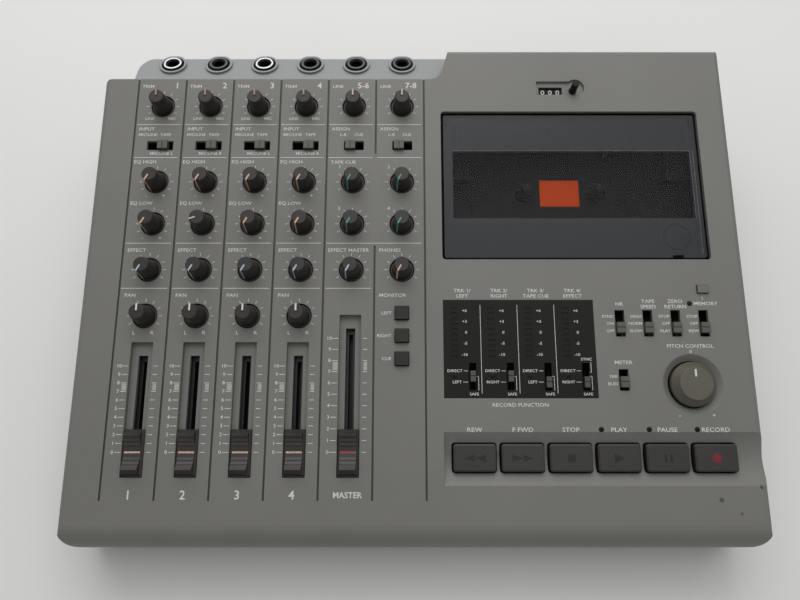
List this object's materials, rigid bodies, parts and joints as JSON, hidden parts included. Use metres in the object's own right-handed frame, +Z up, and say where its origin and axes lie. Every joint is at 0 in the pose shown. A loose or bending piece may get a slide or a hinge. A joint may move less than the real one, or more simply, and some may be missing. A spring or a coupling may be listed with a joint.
{
  "type": "four track cassette recorder",
  "caption": "Portable four track cassette recorder: a sloping mixer panel with knobs and faders beside a tape deck with a smoked door, meters and transport keys.",
  "frame": {"origin": "middle of the overall box at the table, under the feet", "axes": "+X to the right along the front edge, +Y from the front to the rear sockets, +Z up"},
  "size_m": [0.3648, 0.288, 0.0852],
  "materials": {
    "case_plastic": "fine textured grey moulded plastic",
    "base_plastic": "darker textured moulded plastic",
    "foot_rubber": "black rubber",
    "jack_metal": "plated ferrules on black bodies",
    "socket_plastic": "black moulded sockets",
    "meter_face": "dark printed panel",
    "circuit_board": "green laminate with its parts",
    "well_plastic": "black moulded tray",
    "plated_steel": "zinc plated steel",
    "smoked_acrylic": "smoke tinted clear plastic",
    "spindle_plastic": "black moulded plastic",
    "wheel_plastic": "black number wheels",
    "knob_plastic": "dark grey moulded plastic",
    "pitch_plastic": "olive grey moulded plastic",
    "fader_plastic": "dark grey moulded plastic",
    "cap_plastic": "warm grey moulded plastic",
    "button_plastic": "grey moulded plastic",
    "key_plastic": "dark grey moulded plastic"
  },
  "bodies": {
    "recorder": {"upper_case": "case_plastic", "lower_case": "base_plastic", "rubber_feet": "foot_rubber", "input_jacks": "jack_metal", "rear_sockets": "socket_plastic", "meter_panel": "meter_face", "control_boards": "circuit_board", "deck_chassis": "well_plastic", "tape_transport": "plated_steel"},
    "trim_knob_1": {"trim_knob_1": "knob_plastic"},
    "trim_knob_2": {"trim_knob_2": "knob_plastic"},
    "trim_knob_3": {"trim_knob_3": "knob_plastic"},
    "trim_knob_4": {"trim_knob_4": "knob_plastic"},
    "eq_high_knob_1": {"eq_high_knob_1": "knob_plastic"},
    "eq_high_knob_2": {"eq_high_knob_2": "knob_plastic"},
    "eq_high_knob_3": {"eq_high_knob_3": "knob_plastic"},
    "eq_high_knob_4": {"eq_high_knob_4": "knob_plastic"},
    "eq_low_knob_1": {"eq_low_knob_1": "knob_plastic"},
    "eq_low_knob_2": {"eq_low_knob_2": "knob_plastic"},
    "eq_low_knob_3": {"eq_low_knob_3": "knob_plastic"},
    "eq_low_knob_4": {"eq_low_knob_4": "knob_plastic"},
    "effect_knob_1": {"effect_knob_1": "knob_plastic"},
    "effect_knob_2": {"effect_knob_2": "knob_plastic"},
    "effect_knob_3": {"effect_knob_3": "knob_plastic"},
    "effect_knob_4": {"effect_knob_4": "knob_plastic"},
    "pan_knob_1": {"pan_knob_1": "knob_plastic"},
    "pan_knob_2": {"pan_knob_2": "knob_plastic"},
    "pan_knob_3": {"pan_knob_3": "knob_plastic"},
    "pan_knob_4": {"pan_knob_4": "knob_plastic"},
    "tape_cue_knob_1": {"tape_cue_knob_1": "knob_plastic"},
    "tape_cue_knob_2": {"tape_cue_knob_2": "knob_plastic"},
    "tape_cue_knob_3": {"tape_cue_knob_3": "knob_plastic"},
    "tape_cue_knob_4": {"tape_cue_knob_4": "knob_plastic"},
    "line_knob_1": {"line_knob_1": "knob_plastic"},
    "line_knob_2": {"line_knob_2": "knob_plastic"},
    "effect_master_knob": {"effect_master_knob": "knob_plastic"},
    "phones_knob": {"phones_knob": "knob_plastic"},
    "pitch_knob": {"pitch_knob": "pitch_plastic"},
    "channel_fader_1": {"channel_fader_1": "fader_plastic"},
    "channel_fader_2": {"channel_fader_2": "fader_plastic"},
    "channel_fader_3": {"channel_fader_3": "fader_plastic"},
    "channel_fader_4": {"channel_fader_4": "fader_plastic"},
    "master_fader": {"master_fader": "fader_plastic"},
    "input_switch_caps": {"input_switch_caps": "cap_plastic"},
    "assign_switch_caps": {"assign_switch_caps": "cap_plastic"},
    "record_function_switch_caps": {"record_function_switch_caps": "cap_plastic"},
    "mode_switch_caps": {"mode_switch_caps": "cap_plastic"},
    "meter_switch_cap": {"meter_switch_cap": "cap_plastic"},
    "monitor_and_memory_buttons": {"monitor_and_memory_buttons": "button_plastic"},
    "rewind_key": {"rewind_key": "key_plastic"},
    "fast_forward_key": {"fast_forward_key": "key_plastic"},
    "stop_key": {"stop_key": "key_plastic"},
    "play_key": {"play_key": "key_plastic"},
    "pause_key": {"pause_key": "key_plastic"},
    "record_key": {"record_key": "key_plastic"},
    "counter_reset_button": {"counter_reset_button": "spindle_plastic"},
    "cassette_door": {"cassette_door": "smoked_acrylic"},
    "supply_spindle": {"supply_spindle": "spindle_plastic"},
    "take_up_spindle": {"take_up_spindle": "spindle_plastic"},
    "counter_wheels": {"counter_wheels": "wheel_plastic"}
  },
  "joints": [
    {"name": "trim_knob_1_turn", "type": "hinge", "parent": "recorder", "child": "trim_knob_1", "pos_m": [-0.1467, 0.09928, 0.07257], "axis": [0, 0.1045, -0.9945], "range_deg": [-150, 150]},
    {"name": "trim_knob_2_turn", "type": "hinge", "parent": "recorder", "child": "trim_knob_2", "pos_m": [-0.1187, 0.09928, 0.07257], "axis": [0, 0.1045, -0.9945], "range_deg": [-150, 150]},
    {"name": "trim_knob_3_turn", "type": "hinge", "parent": "recorder", "child": "trim_knob_3", "pos_m": [-0.0907, 0.09928, 0.07257], "axis": [0, 0.1045, -0.9945], "range_deg": [-150, 150]},
    {"name": "trim_knob_4_turn", "type": "hinge", "parent": "recorder", "child": "trim_knob_4", "pos_m": [-0.0627, 0.09928, 0.07257], "axis": [0, 0.1045, -0.9945], "range_deg": [-150, 150]},
    {"name": "eq_high_knob_1_turn", "type": "hinge", "parent": "recorder", "child": "eq_high_knob_1", "pos_m": [-0.1467, 0.05224, 0.06762], "axis": [0, 0.1045, -0.9945], "range_deg": [0, 300]},
    {"name": "eq_high_knob_2_turn", "type": "hinge", "parent": "recorder", "child": "eq_high_knob_2", "pos_m": [-0.1187, 0.05224, 0.06762], "axis": [0, 0.1045, -0.9945], "range_deg": [0, 300]},
    {"name": "eq_high_knob_3_turn", "type": "hinge", "parent": "recorder", "child": "eq_high_knob_3", "pos_m": [-0.0907, 0.05224, 0.06762], "axis": [0, 0.1045, -0.9945], "range_deg": [0, 300]},
    {"name": "eq_high_knob_4_turn", "type": "hinge", "parent": "recorder", "child": "eq_high_knob_4", "pos_m": [-0.0627, 0.05224, 0.06762], "axis": [0, 0.1045, -0.9945], "range_deg": [0, 300]},
    {"name": "eq_low_knob_1_turn", "type": "hinge", "parent": "recorder", "child": "eq_low_knob_1", "pos_m": [-0.1467, 0.02718, 0.06499], "axis": [0, 0.1045, -0.9945], "range_deg": [0, 300]},
    {"name": "eq_low_knob_2_turn", "type": "hinge", "parent": "recorder", "child": "eq_low_knob_2", "pos_m": [-0.1187, 0.02718, 0.06499], "axis": [0, 0.1045, -0.9945], "range_deg": [-43, 257]},
    {"name": "eq_low_knob_3_turn", "type": "hinge", "parent": "recorder", "child": "eq_low_knob_3", "pos_m": [-0.0907, 0.02718, 0.06499], "axis": [0, 0.1045, -0.9945], "range_deg": [0, 300]},
    {"name": "eq_low_knob_4_turn", "type": "hinge", "parent": "recorder", "child": "eq_low_knob_4", "pos_m": [-0.0627, 0.02718, 0.06499], "axis": [0, 0.1045, -0.9945], "range_deg": [0, 300]},
    {"name": "effect_knob_1_turn", "type": "hinge", "parent": "recorder", "child": "effect_knob_1", "pos_m": [-0.1467, 0.00063, 0.0622], "axis": [0, 0.1045, -0.9945], "range_deg": [0, 300]},
    {"name": "effect_knob_2_turn", "type": "hinge", "parent": "recorder", "child": "effect_knob_2", "pos_m": [-0.1187, 0.00063, 0.0622], "axis": [0, 0.1045, -0.9945], "range_deg": [0, 300]},
    {"name": "effect_knob_3_turn", "type": "hinge", "parent": "recorder", "child": "effect_knob_3", "pos_m": [-0.0907, 0.00063, 0.0622], "axis": [0, 0.1045, -0.9945], "range_deg": [0, 300]},
    {"name": "effect_knob_4_turn", "type": "hinge", "parent": "recorder", "child": "effect_knob_4", "pos_m": [-0.0627, 0.00063, 0.0622], "axis": [0, 0.1045, -0.9945], "range_deg": [0, 300]},
    {"name": "pan_knob_1_turn", "type": "hinge", "parent": "recorder", "child": "pan_knob_1", "pos_m": [-0.1467, -0.02523, 0.05948], "axis": [0, 0.1045, -0.9945], "range_deg": [-150, 150]},
    {"name": "pan_knob_2_turn", "type": "hinge", "parent": "recorder", "child": "pan_knob_2", "pos_m": [-0.1187, -0.02523, 0.05948], "axis": [0, 0.1045, -0.9945], "range_deg": [-150, 150]},
    {"name": "pan_knob_3_turn", "type": "hinge", "parent": "recorder", "child": "pan_knob_3", "pos_m": [-0.0907, -0.02523, 0.05948], "axis": [0, 0.1045, -0.9945], "range_deg": [-150, 150]},
    {"name": "pan_knob_4_turn", "type": "hinge", "parent": "recorder", "child": "pan_knob_4", "pos_m": [-0.0627, -0.02523, 0.05948], "axis": [0, 0.1045, -0.9945], "range_deg": [-150, 150]},
    {"name": "tape_cue_knob_1_turn", "type": "hinge", "parent": "recorder", "child": "tape_cue_knob_1", "pos_m": [-0.0347, 0.05224, 0.06762], "axis": [0, 0.1045, -0.9945], "range_deg": [0, 300]},
    {"name": "tape_cue_knob_2_turn", "type": "hinge", "parent": "recorder", "child": "tape_cue_knob_2", "pos_m": [-0.0067, 0.05224, 0.06762], "axis": [0, 0.1045, -0.9945], "range_deg": [0, 300]},
    {"name": "tape_cue_knob_3_turn", "type": "hinge", "parent": "recorder", "child": "tape_cue_knob_3", "pos_m": [-0.0347, 0.02718, 0.06499], "axis": [0, 0.1045, -0.9945], "range_deg": [0, 300]},
    {"name": "tape_cue_knob_4_turn", "type": "hinge", "parent": "recorder", "child": "tape_cue_knob_4", "pos_m": [-0.0067, 0.02718, 0.06499], "axis": [0, 0.1045, -0.9945], "range_deg": [0, 300]},
    {"name": "line_knob_1_turn", "type": "hinge", "parent": "recorder", "child": "line_knob_1", "pos_m": [-0.0347, 0.09928, 0.07257], "axis": [0, 0.1045, -0.9945], "range_deg": [-150, 150]},
    {"name": "line_knob_2_turn", "type": "hinge", "parent": "recorder", "child": "line_knob_2", "pos_m": [-0.0067, 0.09928, 0.07257], "axis": [0, 0.1045, -0.9945], "range_deg": [-150, 150]},
    {"name": "effect_master_knob_turn", "type": "hinge", "parent": "recorder", "child": "effect_master_knob", "pos_m": [-0.0347, 0.00063, 0.0622], "axis": [0, 0.1045, -0.9945], "range_deg": [0, 300]},
    {"name": "phones_knob_turn", "type": "hinge", "parent": "recorder", "child": "phones_knob", "pos_m": [-0.0067, 0.00063, 0.0622], "axis": [0, 0.1045, -0.9945], "range_deg": [0, 300]},
    {"name": "pitch_knob_turn", "type": "hinge", "parent": "recorder", "child": "pitch_knob", "pos_m": [0.1484, -0.06213, 0.0556], "axis": [0, 0.1045, -0.9945], "range_deg": [-140, 140]},
    {"name": "channel_fader_1_slide", "type": "slide", "parent": "recorder", "child": "channel_fader_1", "axis": [0, 0.9945, 0.1045], "range_m": [0, 0.045]},
    {"name": "channel_fader_2_slide", "type": "slide", "parent": "recorder", "child": "channel_fader_2", "axis": [0, 0.9945, 0.1045], "range_m": [0, 0.045]},
    {"name": "channel_fader_3_slide", "type": "slide", "parent": "recorder", "child": "channel_fader_3", "axis": [0, 0.9945, 0.1045], "range_m": [0, 0.045]},
    {"name": "channel_fader_4_slide", "type": "slide", "parent": "recorder", "child": "channel_fader_4", "axis": [0, 0.9945, 0.1045], "range_m": [0, 0.045]},
    {"name": "master_fader_slide", "type": "slide", "parent": "recorder", "child": "master_fader", "axis": [0, 0.9945, 0.1045], "range_m": [0, 0.06]},
    {"name": "input_switch_caps_slide", "type": "slide", "parent": "recorder", "child": "input_switch_caps", "axis": [1, 0, 0], "range_m": [-0.0061, 0.0022]},
    {"name": "assign_switch_caps_slide", "type": "slide", "parent": "recorder", "child": "assign_switch_caps", "axis": [1, 0, 0], "range_m": [0, 0.004]},
    {"name": "record_function_switch_caps_slide", "type": "slide", "parent": "recorder", "child": "record_function_switch_caps", "axis": [0, 0.9945, 0.1045], "range_m": [-0.001, 0.004]},
    {"name": "mode_switch_caps_slide", "type": "slide", "parent": "recorder", "child": "mode_switch_caps", "axis": [0, 0.9945, 0.1045], "range_m": [-0.0014, 0.0066]},
    {"name": "meter_switch_cap_slide", "type": "slide", "parent": "recorder", "child": "meter_switch_cap", "axis": [0, 0.9945, 0.1045], "range_m": [0, 0.0036]},
    {"name": "monitor_and_memory_buttons_slide", "type": "slide", "parent": "recorder", "child": "monitor_and_memory_buttons", "axis": [0, 0.1045, -0.9945], "range_m": [0, 0.0016], "stiffness_N_per_m": 300, "springref_m": -0.002},
    {"name": "rewind_key_slide", "type": "slide", "parent": "recorder", "child": "rewind_key", "axis": [0, 0.1045, -0.9945], "range_m": [0, 0.0016], "stiffness_N_per_m": 300, "springref_m": -0.002},
    {"name": "fast_forward_key_slide", "type": "slide", "parent": "recorder", "child": "fast_forward_key", "axis": [0, 0.1045, -0.9945], "range_m": [0, 0.0016], "stiffness_N_per_m": 300, "springref_m": -0.002},
    {"name": "stop_key_slide", "type": "slide", "parent": "recorder", "child": "stop_key", "axis": [0, 0.1045, -0.9945], "range_m": [0, 0.0016], "stiffness_N_per_m": 300, "springref_m": -0.002},
    {"name": "play_key_slide", "type": "slide", "parent": "recorder", "child": "play_key", "axis": [0, 0.1045, -0.9945], "range_m": [0, 0.0016], "stiffness_N_per_m": 300, "springref_m": -0.002},
    {"name": "pause_key_slide", "type": "slide", "parent": "recorder", "child": "pause_key", "axis": [0, 0.1045, -0.9945], "range_m": [0, 0.0016], "stiffness_N_per_m": 300, "springref_m": -0.002},
    {"name": "record_key_slide", "type": "slide", "parent": "recorder", "child": "record_key", "axis": [0, 0.1045, -0.9945], "range_m": [0, 0.0016], "stiffness_N_per_m": 300, "springref_m": -0.002},
    {"name": "counter_reset_button_slide", "type": "slide", "parent": "recorder", "child": "counter_reset_button", "axis": [0, 0.1045, -0.9945], "range_m": [0, 0.003], "stiffness_N_per_m": 120, "springref_m": -0.003},
    {"name": "cassette_door_hinge", "type": "hinge", "parent": "recorder", "child": "cassette_door", "pos_m": [0.0905, 0.09187, 0.06556], "axis": [-1, 0, 0], "range_deg": [0, 62]},
    {"name": "supply_spindle_spin", "type": "hinge", "parent": "recorder", "child": "supply_spindle", "pos_m": [0.06525, 0.05297, 0.05211], "axis": [0, -0.1045, 0.9945], "continuous": true},
    {"name": "take_up_spindle_spin", "type": "hinge", "parent": "recorder", "child": "take_up_spindle", "pos_m": [0.10775, 0.05297, 0.05211], "axis": [0, -0.1045, 0.9945], "continuous": true},
    {"name": "counter_wheels_spin", "type": "hinge", "parent": "recorder", "child": "counter_wheels", "pos_m": [0.081, 0.11082, 0.06614], "axis": [1, 0, 0], "continuous": true}
  ],
  "couplings": [
    {"joint": "counter_wheels_spin", "follows": "take_up_spindle_spin", "ratio": 0.05}
  ]
}
